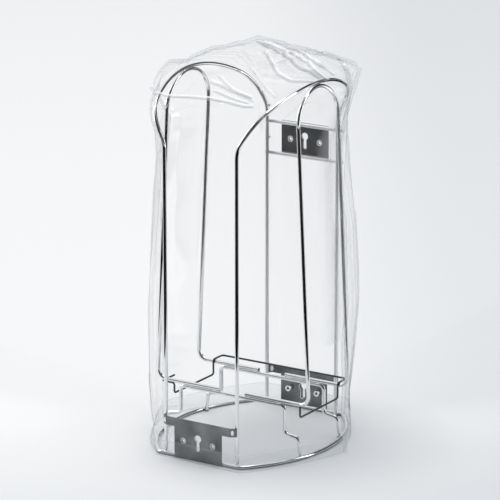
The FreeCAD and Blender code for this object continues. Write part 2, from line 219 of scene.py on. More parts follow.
def clothMaterial(name, glow):
    # black flag cloth, or a white reflector that glows
    material, tree = newMaterial(name)
    if glow:
        cloth = addNode(tree, "ShaderNodeEmission", None, {"Color": toLinear("#ffffff"), "Strength": glow})
    else:
        cloth = addNode(tree, "ShaderNodeBsdfDiffuse", None, {"Color": toLinear("#0c0d0e")})
    finishMaterial(tree, cloth.outputs[0])
    return material


def makeFlags():
    # sectors of rings: radius times the cosine and the sine of the bearing
    for number, (first, last, near, far, glow) in enumerate(studio["flags"]):
        bearing = np.radians(np.linspace(first, last, studio["flagSteps"]))[None, :]
        radius = np.array([near, far])[:, None]
        sector = np.stack(np.broadcast_arrays(radius * np.cos(bearing), radius * np.sin(bearing),
                                              studio["flagHeight"]), axis=-1)
        glossyOnly(gridMesh(f"flag_{number}", sector, clothMaterial(f"flagCloth{number}", glow)))


def makeCards():
    # flat rectangles, turned to face their aim
    for number, (centre, aim, width, height, strength) in enumerate(studio["cards"]):
        material = clothMaterial(f"whiteReflectorCard{number}", strength)
        turn = (Vector(aim) - Vector(centre)).to_track_quat("-Z", "Y").to_matrix()
        right, up = np.array(turn.col[0]) * width / 2, np.array(turn.col[1]) * height / 2
        middle = np.array(centre)
        corners = np.array([[middle - right - up, middle + right - up],
                            [middle - right + up, middle + right + up]])
        glossyOnly(gridMesh(f"card_{number}", corners, material))


def makeLamps():
    for name, place, aim, width, height, watts in studio["lamps"]:
        lamp = bpy.data.objects.new(name, bpy.data.lights.new(name, "AREA"))
        scene.collection.objects.link(lamp)
        lamp.data.shape = "RECTANGLE"
        lamp.data.size, lamp.data.size_y = width, height
        lamp.data.energy = watts
        lamp.visible_glossy = False
        lamp.location = place
        lamp.rotation_euler = (Vector(aim) - lamp.location).to_track_quat("-Z", "Y").to_euler()
    print("studio made")


wire = {
    "chrome": "#eaebed", "under": "#77797c",        # the plating, and the painted shade where it faces the floor
    "drawn": (0.02, 0.06), "welded": (0.10, 0.25),  # roughness, least and most, of the wire and the welds
    "cloud": 6 * mm, "peel": 0.8 * mm,              # size of the clouds and of the orange peel
    "wall": (10 * mm, 120 * mm, 0.36),              # y from and to, roughness added on the wall side
    "arch": (480 * mm, 540 * mm),                   # z from and to where that ends
    "floor": (1.5 * mm, 4 * mm),                    # z from and to of the painted shade underneath
    "dip": ("#17181a", "#2b2d30"), "lump": 2.5 * mm,  # black dip coat and the size of its lumps
}


def chromeMaterial(name, smooth, rougher):
    # bright nickel-chrome plate on drawn steel wire: a near mirror, faintly clouded, rougher on the welds and
    # duller on the wall side, but not up on the arches, with painted shade underneath, near the floor
    material, tree = newMaterial(name)
    place = addNode(tree, "ShaderNodeTexCoord").outputs["Object"]
    cloud = addNode(tree, "ShaderNodeTexNoise", None,
                    {"Vector": place, "Scale": 1 / wire["cloud"], "Detail": 2.0})
    polish = addNode(tree, "ShaderNodeMapRange", None,
                     {"Value": cloud.outputs["Fac"], "To Min": smooth, "To Max": rougher})
    split = addNode(tree, "ShaderNodeSeparateXYZ", None, {"Vector": place})
    start, end, dull = wire["wall"]
    wall = addNode(tree, "ShaderNodeMapRange", {"interpolation_type": "SMOOTHSTEP"},
                   {"Value": split.outputs["Y"], "From Min": start, "From Max": end, "To Max": dull})
    start, end = wire["arch"]
    low = addNode(tree, "ShaderNodeMapRange", {"interpolation_type": "SMOOTHSTEP"},
                  {"Value": split.outputs["Z"], "From Min": start, "From Max": end, "To Min": 1.0,
                   "To Max": 0.0})
    rough = addNode(tree, "ShaderNodeMath", {"operation": "MULTIPLY_ADD"},
                    {0: wall.outputs["Result"], 1: low.outputs["Result"], 2: polish.outputs["Result"]})
    grit = addNode(tree, "ShaderNodeTexNoise", None,
                   {"Vector": place, "Scale": 1 / wire["peel"], "Detail": 2.0})
    bump = addNode(tree, "ShaderNodeBump", None,
                   {"Height": grit.outputs["Fac"], "Strength": 0.04, "Distance": 0.2 * mm})
    # painted shade: darker near the floor
    start, end = wire["floor"]
    unshaded = addNode(tree, "ShaderNodeMapRange", None,
                    {"Value": split.outputs["Z"], "From Min": start, "From Max": end})
    tone = addNode(tree, "ShaderNodeMix", {"data_type": "RGBA"},
                   {0: unshaded.outputs["Result"], 6: toLinear(wire["under"]), 7: toLinear(wire["chrome"])})
    surface = addNode(tree, "ShaderNodeBsdfPrincipled", None,
                      {"Base Color": tone.outputs[2], "Metallic": 1.0, "Roughness": rough.outputs[0],
                       "Normal": bump.outputs["Normal"]})
    finishMaterial(tree, surface.outputs[0])
    return material


plates = {
    "nodes": ("front_low_plate", "rear_low_plate", "rear_high_plate"),
    "holeGap": 52 * mm, "low": 29 * mm,                 # screw holes: spacing, height on the low plates
    "sink": [(2.35, 0.58), (3.70, 0.02), (3.90, -0.14), (4.40, -0.14), (4.60, 0.02)],   # radius, depth, mm
    "keyRound": 5.0, "keySlot": 2.25, "keyUp": 7.0, "keyDrop": 17.0,                    # mm
    "keyRim": [(0.05, 0.6), (0.05, -0.14), (0.55, -0.14), (0.75, 0.02)],                # offset, depth, mm
    "turnSteps": 48, "roundSteps": 40, "endSteps": 14,
    "lines": (40 * mm, 3 * mm, 0.7 * mm),               # length, depth and spacing of the rolling lines
    "patch": 32 * mm, "dark": "#45484a", "pale": "#86898b",
    "paintedReflectionFrom": 300 * mm, "paintedReflectionTo": 400 * mm,           # the plate above this height is paler: a painted reflection
    "cut": ("#eceeef", "#fcfcfd"), "cutMark": 0.6 * mm, # bare cut edges, painted near white also for their highlight, and their turning lines
}


def plateMaterial():
    # rolled and polished steel sheet, plated dark: a soft mirror with fine rolling lines along X, soft darker
    # patches, and a painted reflection that makes it paler up on the high plate
    material, tree = newMaterial("polishedSteelSheet")
    place = addNode(tree, "ShaderNodeTexCoord").outputs["Object"]
    spread = addNode(tree, "ShaderNodeMapping", None,
                     {"Vector": place, "Scale": tuple(1 / size for size in plates["lines"])})
    lines = addNode(tree, "ShaderNodeTexNoise", None,
                    {"Vector": spread.outputs[0], "Scale": 1.0, "Detail": 3.0})
    rough = addNode(tree, "ShaderNodeMapRange", None,
                    {"Value": lines.outputs["Fac"], "To Min": 0.12, "To Max": 0.30})
    patch = addNode(tree, "ShaderNodeTexNoise", None,
                    {"Vector": place, "Scale": 1 / plates["patch"], "Detail": 1.0})
    cloud = addNode(tree, "ShaderNodeMapRange", None,
                    {"Value": patch.outputs["Fac"], "From Min": 0.30, "From Max": 0.70, "To Max": 0.7})
    split = addNode(tree, "ShaderNodeSeparateXYZ", None, {"Vector": place})
    # painted reflection: paler high up
    high = addNode(tree, "ShaderNodeMapRange", None,
                   {"Value": split.outputs["Z"], "From Min": plates["paintedReflectionFrom"],
                    "From Max": plates["paintedReflectionTo"], "To Max": 0.7})
    both = addNode(tree, "ShaderNodeMath", {"operation": "ADD"}, {0: cloud.outputs[0], 1: high.outputs[0]})
    share = addNode(tree, "ShaderNodeMath", {"operation": "MULTIPLY_ADD", "use_clamp": True},
                    {0: lines.outputs["Fac"], 1: 0.3, 2: both.outputs[0]})
    tone = addNode(tree, "ShaderNodeMix", {"data_type": "RGBA"},
                   {0: share.outputs[0], 6: toLinear(plates["dark"]), 7: toLinear(plates["pale"])})
    bump = addNode(tree, "ShaderNodeBump", None,
                   {"Height": lines.outputs["Fac"], "Strength": 0.05, "Distance": 0.1 * mm})
    surface = addNode(tree, "ShaderNodeBsdfPrincipled", None,
                      {"Base Color": tone.outputs[2], "Metallic": 0.82,
                       "Roughness": rough.outputs["Result"], "Normal": bump.outputs["Normal"]})
    finishMaterial(tree, surface.outputs[0])
    return material


def blackWireMaterial():
    # thin wire with a black dip coat: satin, slightly lumpy
    material, tree = newMaterial("blackDipCoatedWire")
    dark, pale = wire["dip"]
    place = addNode(tree, "ShaderNodeTexCoord").outputs["Object"]
    lumps = addNode(tree, "ShaderNodeTexNoise", None,
                    {"Vector": place, "Scale": 1 / wire["lump"], "Detail": 2.0})
    tone = addNode(tree, "ShaderNodeMix", {"data_type": "RGBA"},
                   {0: lumps.outputs["Fac"], 6: toLinear(dark), 7: toLinear(pale)})
    rough = addNode(tree, "ShaderNodeMapRange", None,
                    {"Value": lumps.outputs["Fac"], "To Min": 0.28, "To Max": 0.45})
    bump = addNode(tree, "ShaderNodeBump", None,
                   {"Height": lumps.outputs["Fac"], "Strength": 0.15, "Distance": 0.2 * mm})
    surface = addNode(tree, "ShaderNodeBsdfPrincipled", None,
                      {"Base Color": tone.outputs[2], "Roughness": rough.outputs["Result"],
                       "Normal": bump.outputs["Normal"]})
    finishMaterial(tree, surface.outputs[0])
    return material


def paintRack():
    chrome = chromeMaterial("chromePlatedSteelWire", *wire["drawn"])
    plate = plateMaterial()
    black = blackWireMaterial()
    for name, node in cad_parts.items():
        if name == "strap_rail":
            paintNode(node, black)
        elif name.endswith("_plate"):
            paintNode(node, plate)
        elif not name.startswith("bag_"):
            paintNode(node, chrome)
    print("rack painted")


def bareSteelAndHighlightMaterial():
    # countersinks and punched edges, cut after rolling and left bare; their near white is partly bare steel
    # and partly a painted highlight: satin, with fine turning lines
    material, tree = newMaterial("bareCutSteelAndPaintedHighlight")
    dark, pale = plates["cut"]
    place = addNode(tree, "ShaderNodeTexCoord").outputs["Object"]
    lines = addNode(tree, "ShaderNodeTexNoise", None,
                    {"Vector": place, "Scale": 1 / plates["cutMark"], "Detail": 1.0})
    rough = addNode(tree, "ShaderNodeMapRange", None,
                    {"Value": lines.outputs["Fac"], "To Min": 0.3, "To Max": 0.5})
    tone = addNode(tree, "ShaderNodeMix", {"data_type": "RGBA"},
                   {0: lines.outputs["Fac"], 6: toLinear(dark), 7: toLinear(pale)})
    surface = addNode(tree, "ShaderNodeBsdfPrincipled", None,
                      {"Base Color": tone.outputs[2], "Metallic": 0.2, "Roughness": rough.outputs["Result"]})
    finishMaterial(tree, surface.outputs[0])
    return material


samePoint = 0.002 * mm      # points nearer than this are one


def closePoles(piece):
    # points that lie on each other become one, and the faces turn outwards
    work = bmesh.new()
    work.from_mesh(piece.data)
    bmesh.ops.remove_doubles(work, verts=work.verts, dist=samePoint)
    bmesh.ops.recalc_face_normals(work, faces=work.faces)
    work.to_mesh(piece.data)
    work.free()
    return piece


def joined(name, grids, material, body, closed=True):
    # several grids of one piece in one mesh
    parts = [gridMesh(name, grid, material, closed) for grid in grids]
    work = bmesh.new()
    for part in parts:
        work.from_mesh(part.data)
        mesh = part.data
        bpy.data.objects.remove(part)
        bpy.data.meshes.remove(mesh)
    mesh = bpy.data.meshes.new(name)
    work.to_mesh(mesh)
    work.free()
    mesh.materials.append(material)
    piece = bpy.data.objects.new(name, mesh)
    scene.collection.objects.link(piece)
    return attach(closePoles(piece), body)


def makePlateRims(steel):
    # a turned profile round each screw hole, and a flat profile carried round each keyhole's outline: a large
    # arc and the small arc at the end of its slot
    turn = np.linspace(0, 2 * pi, plates["turnSteps"], endpoint=False)[None, :]
    sink = np.array(plates["sink"])[:, :, None] * mm
    gape = np.arcsin(plates["keySlot"] / plates["keyRound"])
    bigTurn = np.linspace(gape, 2 * pi - gape, plates["roundSteps"])
    endTurn = np.linspace(-pi / 2, pi / 2, plates["endSteps"])
    outX = np.concatenate([np.sin(bigTurn), np.sin(endTurn)])
    outZ = np.concatenate([-np.cos(bigTurn), -np.cos(endTurn)])
    coreX = np.concatenate([plates["keyRound"] * np.sin(bigTurn), plates["keySlot"] * np.sin(endTurn)])
    coreZ = np.concatenate([-plates["keyRound"] * np.cos(bigTurn),
                            -plates["keyDrop"] - plates["keySlot"] * np.cos(endTurn)])
    rim = np.array(plates["keyRim"])[:, :, None]
    for name in plates["nodes"]:
        low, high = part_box(name)
        face = low[1]
        middle = plates["low"] if "low" in name else (low[2] + high[2]) / 2
        grids = []
        for x in (-plates["holeGap"] / 2, plates["holeGap"] / 2):
            hole = np.broadcast_arrays(x + sink[:, 0] * np.cos(turn), face + sink[:, 1],
                                       middle + sink[:, 0] * np.sin(turn))
            grids.append(np.stack(hole, axis=-1))
        key = np.broadcast_arrays((coreX + outX * rim[:, 0]) * mm, face + rim[:, 1] * mm,
                                  middle + (plates["keyUp"] + coreZ + outZ * rim[:, 0]) * mm)
        grids.append(np.stack(key, axis=-1))
        # in the near-white bare steel, partly a painted highlight
        joined(name + "_rims", grids, steel, "rack")


welds = {
    "radius": 3.0 * mm, "long": 1.4, "flat": 0.72, "rings": 9, "segments": 16,
    "spots": [  # centres in mm, for both signs of x; long axis of the bead, 0 along x, 1 along y, 2 along z
        (63, -146.2, 3.4, 0), (63, 146.2, 3.4, 0), (63, 146.2, 431.5, 0), (63, 146.2, 481.5, 0),
        (30, -57, 81.4, 0), (30, 57, 81.4, 0), (84, -57, 81.4, 0), (84, 57, 81.4, 0),
    ],
    "arm": (58.5, 150.2, 55.5), "armShape": (1.2, 0.55, 1.5),   # the beads at the ends of the plates' arms, in near-white bare steel: a painted highlight
}


def makeWeldBeads(paintedHighlightSteel):
    # each bead is a ball, longer one way and flattened the other two
    steel = chromeMaterial("chromePlatedWeldBead", *wire["welded"])
    polar = np.linspace(0, pi, welds["rings"])[:, None]
    turn = np.linspace(0, 2 * pi, welds["segments"], endpoint=False)[None, :]
    ball = np.stack(np.broadcast_arrays(np.sin(polar) * np.cos(turn), np.sin(polar) * np.sin(turn),
                                        np.cos(polar)), axis=-1)
    grids = []
    for x, y, z, axis in welds["spots"]:
        scale = np.full(3, welds["flat"])
        scale[axis] = welds["long"]
        for hand in (-1, 1):
            grids.append(ball * scale * welds["radius"] + np.array([hand * x, y, z]) * mm)
    joined("weld_beads", grids, steel, "rack")
    # painted highlight: the beads at the arms' ends wear the near-white bare steel
    shape = np.array(welds["armShape"])
    ends = [ball * shape * welds["radius"] + np.array([hand, side, 1]) * welds["arm"] * mm
            for side in (-1, 1) for hand in (-1, 1)]
    joined("arm_weld_beads", ends, paintedHighlightSteel, "rack")
    print("rims and beads made")


hoop = {"halfX": 63 * mm, "halfY": 143 * mm, "knee": 482 * mm, "bend": 40 * mm, "lean": radians(30),
        "rise": 95 * mm, "shoulder": 62 * mm}
bag = {
    "heights": [0, 30, 65, 110, 210, 260, 340, 416, 462.5],    # wall heights in mm, then per height in mm:
    "seams": [161, 159, 157, 158, 161, 160, 157, 152, 148],    # half width at the side seams
    "front": {  # half width of the flat face, its distance from the middle, swell of the slanting side
        -1: ([71, 74, 77, 78, 78, 78, 76, 73, 70], [155, 157, 160, 161, 161, 160, 159, 156, 151.5],
             [17, 6, 8, 11, 11, 8, 3, 1, 2]),
        1: ([78, 78, 78, 78, 78, 78, 78, 76, 73], [162, 161.5, 161, 161, 161, 161, 160, 157, 152.5],
            [11, 10, 11, 13, 14, 14, 12, 8, 6]),
    },
    "rear": {
        -1: ([78, 78, 78, 78, 78, 78, 78, 76, 74], [160, 160, 160, 161, 161, 161, 160, 158, 155.5],
             [10, 10, 11, 12, 13, 12, 10, 7, 5]),
        1: ([75, 75, 76, 78, 79, 79, 78, 75, 73], [159, 159, 159, 160, 161, 161, 160, 158, 155.5],
            [8, 7, 6, 9, 16, 15, 12, 4, 3]),
    },
    # top seam: half length, the peak's place and rise, each end's drop, the power of each of its three runs
    "ridgeHalf": 179 * mm, "peakX": 9 * mm, "rise": 47.8 * mm, "leftDrop": 46 * mm, "rightDrop": 19 * mm,
    "leftPower": 3.2, "climbPower": 0.75, "rightPower": 1.3,
    "gap": 3.9 * mm, "room": 1.5 * mm, "ease": 1.5 * mm,       # clear of the hoops' centre lines
    "flatShare": 0.5, "capSwell": 6 * mm, "capFlatten": 0.9,   # share of the flat face, shape of the cap
    "hem": 26 * mm, "hemGap": 0.5 * mm, "hemShade": 0.5, "hemWeldShade": 0.3,
    "seal": 7 * mm, "sealShade": [0.55, 0.0825, 0.0, 0.055, 0.44],    # width, painted shade of its rows outwards
    "sealRipple": [(0.9, 11), (0.5, 4.7)],                     # height and length of its ripples, mm
    "columns": 261, "wallRows": 210, "capRows": 130, "smooth": 8,
    "flat": (0.53, 0.70), "area": 0.33,                        # the sheet before it was draped, m and m2
}


def archHeight(across):
    # three-centre arch of the hoop: tight end circles, then a flat crown circle that touches both
    rise = hoop["rise"] - hoop["bend"] * np.tan(hoop["lean"] / 2)
    reach = hoop["halfY"] - hoop["shoulder"]
    crown = (reach ** 2 + rise ** 2 - hoop["shoulder"] ** 2) / (2 * (rise - hoop["shoulder"]))
    turn = np.arctan2(crown - rise, reach)
    ends = np.sqrt(np.maximum(0, hoop["shoulder"] ** 2 - (np.abs(across) - reach) ** 2))
    top = rise - crown + np.sqrt(np.maximum(0, crown ** 2 - across ** 2))
    return np.where(np.abs(across) > reach + hoop["shoulder"] * np.cos(turn), ends, top)


def ridgeLine(x):
    # top seam: falls to the left ear, climbs to the peak and falls to the right ear, each by its own power
    apexX = hoop["halfX"] + hoop["rise"] * np.sin(hoop["lean"])
    crestX = apexX + bag["gap"]
    crestZ = hoop["knee"] + hoop["rise"] * np.cos(hoop["lean"]) + bag["gap"]
    peakZ = crestZ + bag["rise"]
    t = np.abs((-crestX - x) / (bag["ridgeHalf"] - crestX))
    left = crestZ - bag["leftDrop"] * t ** bag["leftPower"]
    t = np.clip((x + crestX) / (bag["peakX"] + crestX), 0, 1)
    middle = crestZ + bag["rise"] * t ** bag["climbPower"]
    t = np.clip((x - bag["peakX"]) / (bag["ridgeHalf"] - bag["peakX"]), 0, 1)
    right = peakZ - bag["rightDrop"] * t ** bag["rightPower"]
    return np.where(x < -crestX, left, np.where(x < bag["peakX"], middle, right)), crestX, crestZ


def sideTables(side, s, z):
    # the table of the left or the right half, interpolated in height, and blended across the middle
    tables = [[np.interp(z / mm, bag["heights"], row) * mm for row in bag[side][hand]] for hand in (-1, 1)]
    blend = np.clip(s / (2 * bag["flatShare"]) + 0.5, 0, 1)
    return [left * (1 - blend) + right * blend for left, right in zip(*tables)]


def wallRows(side, s):
    # rows of the walls: flat face, then a slanting side that swells like a half sine to its seam
    z = np.linspace(0, 1, bag["wallRows"])[:, None] * bag["heights"][-1] * mm
    seam = np.interp(z / mm, bag["heights"], bag["seams"]) * mm
    flat, front, swell = sideTables(side, s, z)
    share = bag["flatShare"]
    inner = np.minimum(1, np.abs(s) / share)
    outer = np.maximum(0, (np.abs(s) - share) / (1 - share))
    run = seam - flat
    length = np.hypot(run, front)
    bulge = swell * np.sin(pi * outer)
    x = np.sign(s) * (flat * inner + run * outer + bulge * front / length)
    y = -(front * (1 - outer) + bulge * run / length * (1 - outer))
    return np.stack(np.broadcast_arrays(x, y, z), axis=-1)


def capRows(s):
    # rows over the arches: each row stands on both hoops at one depth and hangs out to the side seams
    turn = np.linspace(0, 1, bag["capRows"])[:, None] * pi / 2
    up, out = np.sin(turn), np.maximum(0, np.cos(turn))
    out[-1] = 0
    ease = bag["ease"] * np.sqrt(out)
    climb = hoop["bend"] * np.tan(hoop["lean"] / 2) + archHeight(hoop["halfY"] * out)
    archX = (hoop["halfX"] + climb * np.sin(hoop["lean"]) + bag["gap"] + ease / 2
             + bag["room"] * out)
    archZ = hoop["knee"] + climb * np.cos(hoop["lean"]) + bag["gap"] + ease
    front = np.where(out > 0, hoop["halfY"] * out + bag["gap"] + ease / 2, 0)
    share = bag["flatShare"]
    inner = np.minimum(1, np.abs(s) / share)
    outer = np.maximum(0, (np.abs(s) - share) / (1 - share))
    endZ, crestX, crestZ = ridgeLine(np.sign(s) * bag["ridgeHalf"])
    seamLow = bag["seams"][-1] * mm
    flatten = 1 + bag["capFlatten"] * up
    seamX = seamLow + (bag["ridgeHalf"] - seamLow) * up
    seamZ = hoop["knee"] + (endZ - hoop["knee"]) * up
    swell = bag["capSwell"] * out * np.sin(pi * outer)
    x = np.sign(s) * (archX * inner + (seamX - archX) * outer + swell)
    topX = np.sign(s) * (crestX * inner + (bag["ridgeHalf"] - crestX) * outer)
    lift = ridgeLine(topX)[0] - crestZ - (endZ - crestZ) * outer
    z = archZ + (seamZ - archZ) * outer + lift * (1 - out)
    return np.stack(np.broadcast_arrays(x, -front * (1 - outer) ** flatten, z), axis=-1)


def baseSheet(side):
    # one smooth half of the bag as a grid (rows, columns, 3), with y from -front to 0
    s = np.linspace(-1, 1, bag["columns"])[None, :]
    return np.concatenate([wallRows(side, s), capRows(s)], axis=0)


def softNoise(x, y, seed):
    # random heights on a unit lattice, joined by smooth cubic steps, from -1 to 1
    size = 64       # the lattice repeats after so many cells
    table = np.random.RandomState(seed).uniform(-1, 1, (size, size))
    cellX, cellY = np.floor(x).astype(int), np.floor(y).astype(int)
    u, v = x - cellX, y - cellY
    u, v = u * u * (3 - 2 * u), v * v * (3 - 2 * v)
    left, right, near, far = cellX % size, (cellX + 1) % size, cellY % size, (cellY + 1) % size
    low = table[left, near] * (1 - u) + table[right, near] * u
    high = table[left, far] * (1 - u) + table[right, far] * u
    return low * (1 - v) + high * v


def creaseNoise(x, y, seed):
    # soft noise folded at zero, so that sharp crests run where it changes sign: 1 on a crest, less beside it
    return 1 - folds["crest"] * np.abs(softNoise(x, y, seed))


def tentFold(across, up, start, end, width):
    # a sharp-crested fold along a line: falls off straight to each side, widens along it, fades at both ends
    start, end = np.array(start, float), np.array(end, float)
    along = end - start
    length = np.hypot(*along)
    along /= length
    run = (across - start[0]) * along[0] + (up - start[1]) * along[1]
    off = np.abs(-(across - start[0]) * along[1] + (up - start[1]) * along[0])
    spread = width * (folds["tip"] + (1 - folds["tip"]) * np.clip(run / length, 0, 1))
    ends = (np.clip(run / (folds["rise"] * length), 0, 1)
            * np.clip((length - run) / (folds["fall"] * length), 0, 1))
    return np.maximum(0, 1 - off / spread) * ends


creases = [
    # sharp creases of the front film: width, height, whiteness (partly a painted highlight) or, where below
    # zero, the grey of painted shade, then points across and up the sheet, in mm
    (4, 1.8, 0.90, [(-130, 568), (-86, 559), (-42, 560), (8, 559), (50, 558), (84, 556), (110, 559)]),
    (5, 1.8, 0.85, [(-18, 594), (38, 580), (96, 572)]),
    (4, 1.4, 0.85, [(0, 575), (56, 565), (96, 562)]),
    (4, 1.4, 0.70, [(-6, 606), (20, 590), (60, 574), (104, 566)]),
    (6, 2.8, 1.00, [(10, 694), (50, 681), (94, 668), (154, 640), (188, 610)]),
    (5, 2.4, 0.90, [(50, 694), (96, 690), (140, 674), (210, 620)]),
    (5, 2.0, 0.85, [(42, 672), (100, 629), (148, 615), (180, 606)]),
    (5, 2.0, 0.90, [(24, 689), (76, 679), (132, 668), (200, 604)]),
    (4, 1.6, 0.65, [(40, 631), (100, 596), (136, 580)]),
    (3, 1.2, 0.40, [(198, 676), (236, 681), (254, 689)]),
    (3, 1.4, 0.45, [(210, 628), (252, 676)]),
    (4, 1.6, 0.40, [(250, 668), (244, 581), (250, 542)]),
    (3, 0.8, 0.40, [(-24, 674), (14, 633), (42, 628)]),
    (4, 1.2, 0.40, [(-120, 555), (-104, 527), (-104, 501)]),
    (3, 1.0, 0.50, [(-48, 596), (-56, 569), (-84, 562)]),
    (4, 1.0, 0.40, [(108, 574), (128, 550), (148, 519)]),
    (3, 0.8, 0.30, [(158, 535), (170, 556), (194, 563)]),
    (9, 0.5, 0.08, [(10, 556), (34, 485), (32, 363)]),
    (13, 0.4, -0.42, [(84, 656), (112, 641), (142, 630)]),
    (20, 0.4, -0.50, [(206, 662), (232, 640), (240, 612), (246, 560)]),
    (22, 0.3, -0.55, [(246, 560), (248, 452), (246, 390), (246, 316), (246, 239), (248, 170)]),
    (9, 0.4, -0.45, [(96, 674), (130, 650), (176, 610)]),
    (3, 1.4, 0.55, [(-140, 6), (-124, 24), (-120, 55), (-132, 84)]),
    (3, 1.2, 0.45, [(-118, 4), (-86, 27), (-70, 53)]),
    (4, 1.2, 0.45, [(-150, 40), (-158, 90), (-140, 130)]),
    (6, 1.0, 0.20, [(-240, 560), (-214, 470), (-222, 380), (-216, 240)]),
]


def polylineFold(across, up, points, width):
    # falls off straight from 1 on the line of points to 0 at the width, and fades towards both ends; the
    # second array is the same for a line below it, the painted shade beside the crease
    points = np.array(points, float)
    near, beside = np.full(across.shape, np.inf), np.full(across.shape, np.inf)
    along = np.zeros(across.shape)
    done = 0.0
    for start, end in zip(points[:-1], points[1:]):
        step = end - start
        length = np.hypot(*step)
        run = np.clip(((across - start[0]) * step[0] + (up - start[1]) * step[1]) / length, 0, length)
        offX = across - start[0] - step[0] * run / length
        offY = up - start[1] - step[1] * run / length
        off = np.hypot(offX, offY)
        along = np.where(off < near, done + run, along)
        near = np.minimum(near, off)
        shift = np.array([step[1], -step[0]]) / length * width * folds["shift"]
        shift *= -1 if shift[1] > 0 else 1
        beside = np.minimum(beside, np.hypot(offX - shift[0], offY - shift[1]))
        done += length
    ends = (np.clip(along / folds["fade"], folds["least"], 1)
            * np.clip((done - along) / folds["fade"], folds["least"], 1))
    grey = np.maximum(0, 1 - beside / (folds["paintedShadeShare"] * width))
    return np.maximum(0, 1 - near / width) * ends, grey * ends


folds = {
    # all in mm: across the sheet from its middle, and up it, or down from the top seam where negative
    "front": {
        "fans": [  # focus, first end, last end, count, width, height
            ((134, -6), (14, -10), (40, -95), 5, 8, 4.0),
            ((134, -6), (236, -14), (205, -90), 3, 9, 4.0),
            ((-134, -6), (-30, -14), (-70, -120), 4, 11, 2.5),
            ((-134, -6), (-240, -14), (-190, -120), 3, 10, 2.5),
            ((132, -190), (232, -60), (226, -150), 3, 9, 2.5),
            ((-132, -190), (-236, -70), (-228, -160), 4, 9, 2.2),
        ],
        "lines": [  # start, end, width, height
            ((-60, 34), (-66, 330), 12, 0.5), ((64, 440), (68, 120), 12, 0.6),
            ((-222, 430), (-214, 100), 11, 1.2), ((-190, 60), (-182, 360), 13, 1.0),
            ((176, 20), (170, 260), 13, 1.0), ((222, 90), (216, 420), 12, 1.4),
            ((-262, 508), (-150, 478), 9, 2.0), ((258, 470), (150, 520), 10, 2.0),
            ((30, 560), (110, 500), 12, 1.5),
        ],
    },
    "rear": {
        "fans": [
            ((134, -6), (10, -12), (60, -110), 4, 9, 3.0),
            ((134, -6), (238, -12), (215, -100), 3, 10, 3.0),
            ((-134, -6), (-20, -12), (-80, -130), 5, 10, 3.0),
            ((-134, -6), (-238, -14), (-200, -110), 3, 9, 3.0),
            ((-131, -200), (-60, -50), (-110, -70), 3, 11, 3.0),
        ],
        "lines": [
            ((-262, 510), (-190, 500), 9, 4.0), ((-215, 503), (-122, 470), 9, 4.5),
            ((-240, 520), (-150, 488), 7, 2.0), ((-205, 90), (-200, 460), 11, 1.2),
            ((-168, 420), (-176, 60), 10, 1.0), ((-90, 60), (-84, 420), 14, 0.5),
            ((52, 440), (50, 60), 11, 0.6), ((182, 60), (190, 440), 11, 1.6),
            ((222, 430), (214, 40), 10, 1.6), ((262, 380), (175, 500), 12, 2.5),
            ((158, 60), (162, 300), 9, 1.0),
        ],
    },
    "seed": {"front": 11, "rear": 29},
    "halfWidth": 260,                                   # of the sheet
    "wander": (0.35, 37.0),                             # how much the folds of a fan differ, and how fast
    "tip": 0.35, "rise": 0.12, "fall": 0.3,             # a fold's width at its tip, shares that fade
    "fade": 8, "least": 0.2,                            # a sharp crease fades over this, to this share
    "shift": 0.9, "paintedShadeShare": 0.7,                        # the painted shade under it: shares of its width
    "cap": (430, 90), "slant": (100, 60),               # where cap and slanting sides start, over how much
    "waves": 0.55, "waveLength": 9.5, "waveFlat": 0.15, # waves of the walls: height, size, least share
    "waveBend": (1.5, 130), "warp": (16, 120, 160),     # how they bend going up, warp and its patches
    "crumple": [(120, 1.3), (55, 0.35), (21, 0.07)],    # size and height of the crumpling, three octaves
    "crest": 1.6, "wallShare": 0.3,                     # its steepness, and its share on the walls
    "whiteFrom": 1.5, "whiteSpan": 3, "whiteFull": 60,  # heights that whiten the film a little: a painted highlight on the fold tops
    "whiteGain": 1.2, "whitePower": 3,                  # whiteness over a crease's profile
    "tight": (0.7, 131, 20),                            # over the hoops: share taken, place, half width
    "rim": (16, 12),                                    # the folds fade this near to the side and top seams
    "lift": 0.9,                                        # the film stands off by this at least
}


